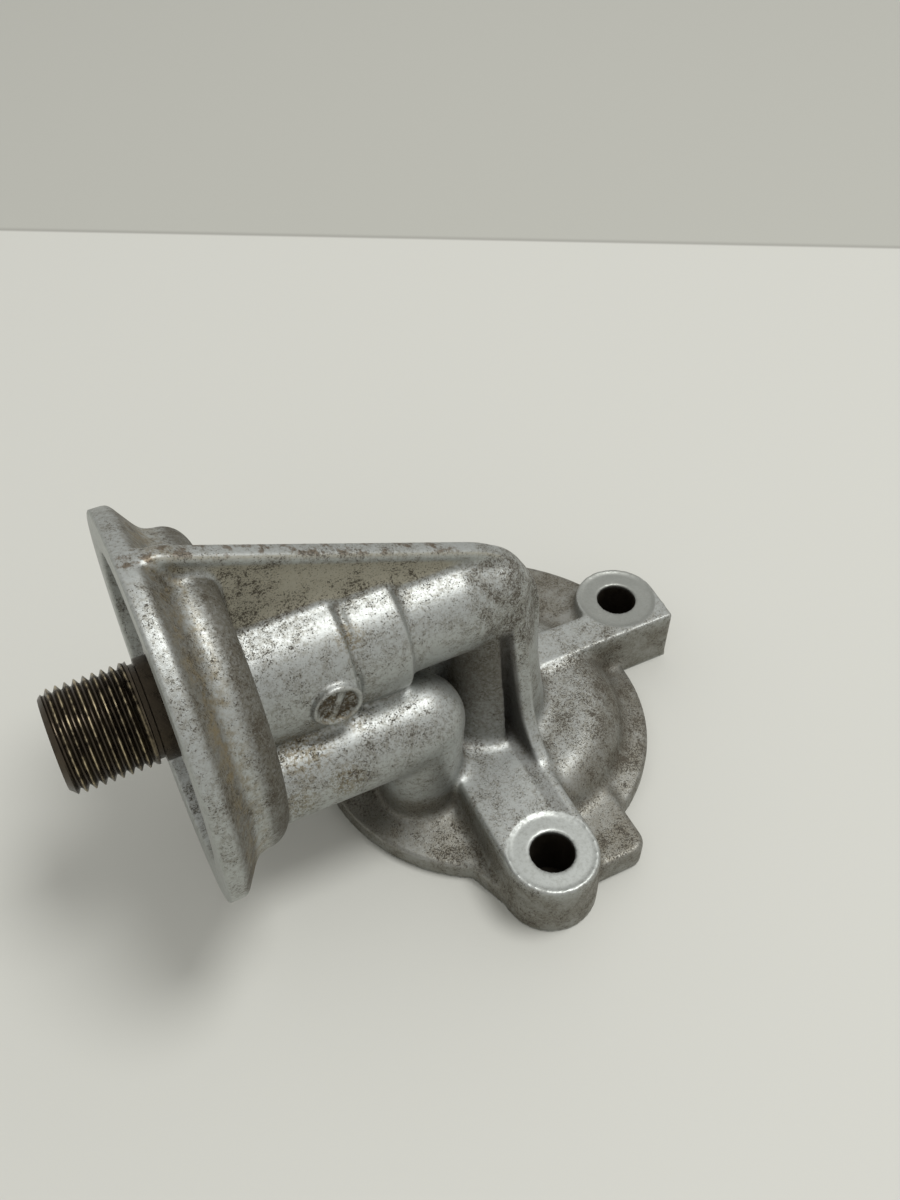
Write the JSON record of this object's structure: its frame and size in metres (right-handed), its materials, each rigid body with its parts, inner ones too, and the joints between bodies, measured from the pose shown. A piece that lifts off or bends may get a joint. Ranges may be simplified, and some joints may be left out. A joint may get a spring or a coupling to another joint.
{
  "type": "oil filter housing",
  "caption": "Cast aluminium oil filter housing: round engine flange with bolt lugs, elbow passage, gusset web and a filter flange with a hollow threaded stud.",
  "frame": {"origin": "centre of the engine port, in the plane of the engine face", "axes": "+Z away from the engine along the engine port's axis, the filter stud points to -X, the slotted side of the column faces -Y"},
  "size_m": [0.1333, 0.0929, 0.0835],
  "materials": {
    "cast_aluminium": "die cast, satin, with oil stains and pits, machined lands and spot faces",
    "dark_steel": "dark oxide with bright worn crests",
    "valve_steel": "plain bright steel",
    "seal_rubber": "matte black"
  },
  "bodies": {
    "housing_body": {"housing": "cast_aluminium", "filter_stud": "dark_steel", "outer_seal": "seal_rubber", "port_seal": "seal_rubber", "bypass_seat": "valve_steel", "bypass_cage": "valve_steel", "bypass_spring": "valve_steel"},
    "poppet_body": {"bypass_poppet": "valve_steel"}
  },
  "joints": [
    {"name": "bypass_lift", "type": "slide", "parent": "housing_body", "child": "poppet_body", "axis": [1, 0, 0], "range_m": [0, 0.003], "stiffness_N_per_m": 760, "springref_m": -0.0055, "deforming": ["bypass_spring"]}
  ]
}
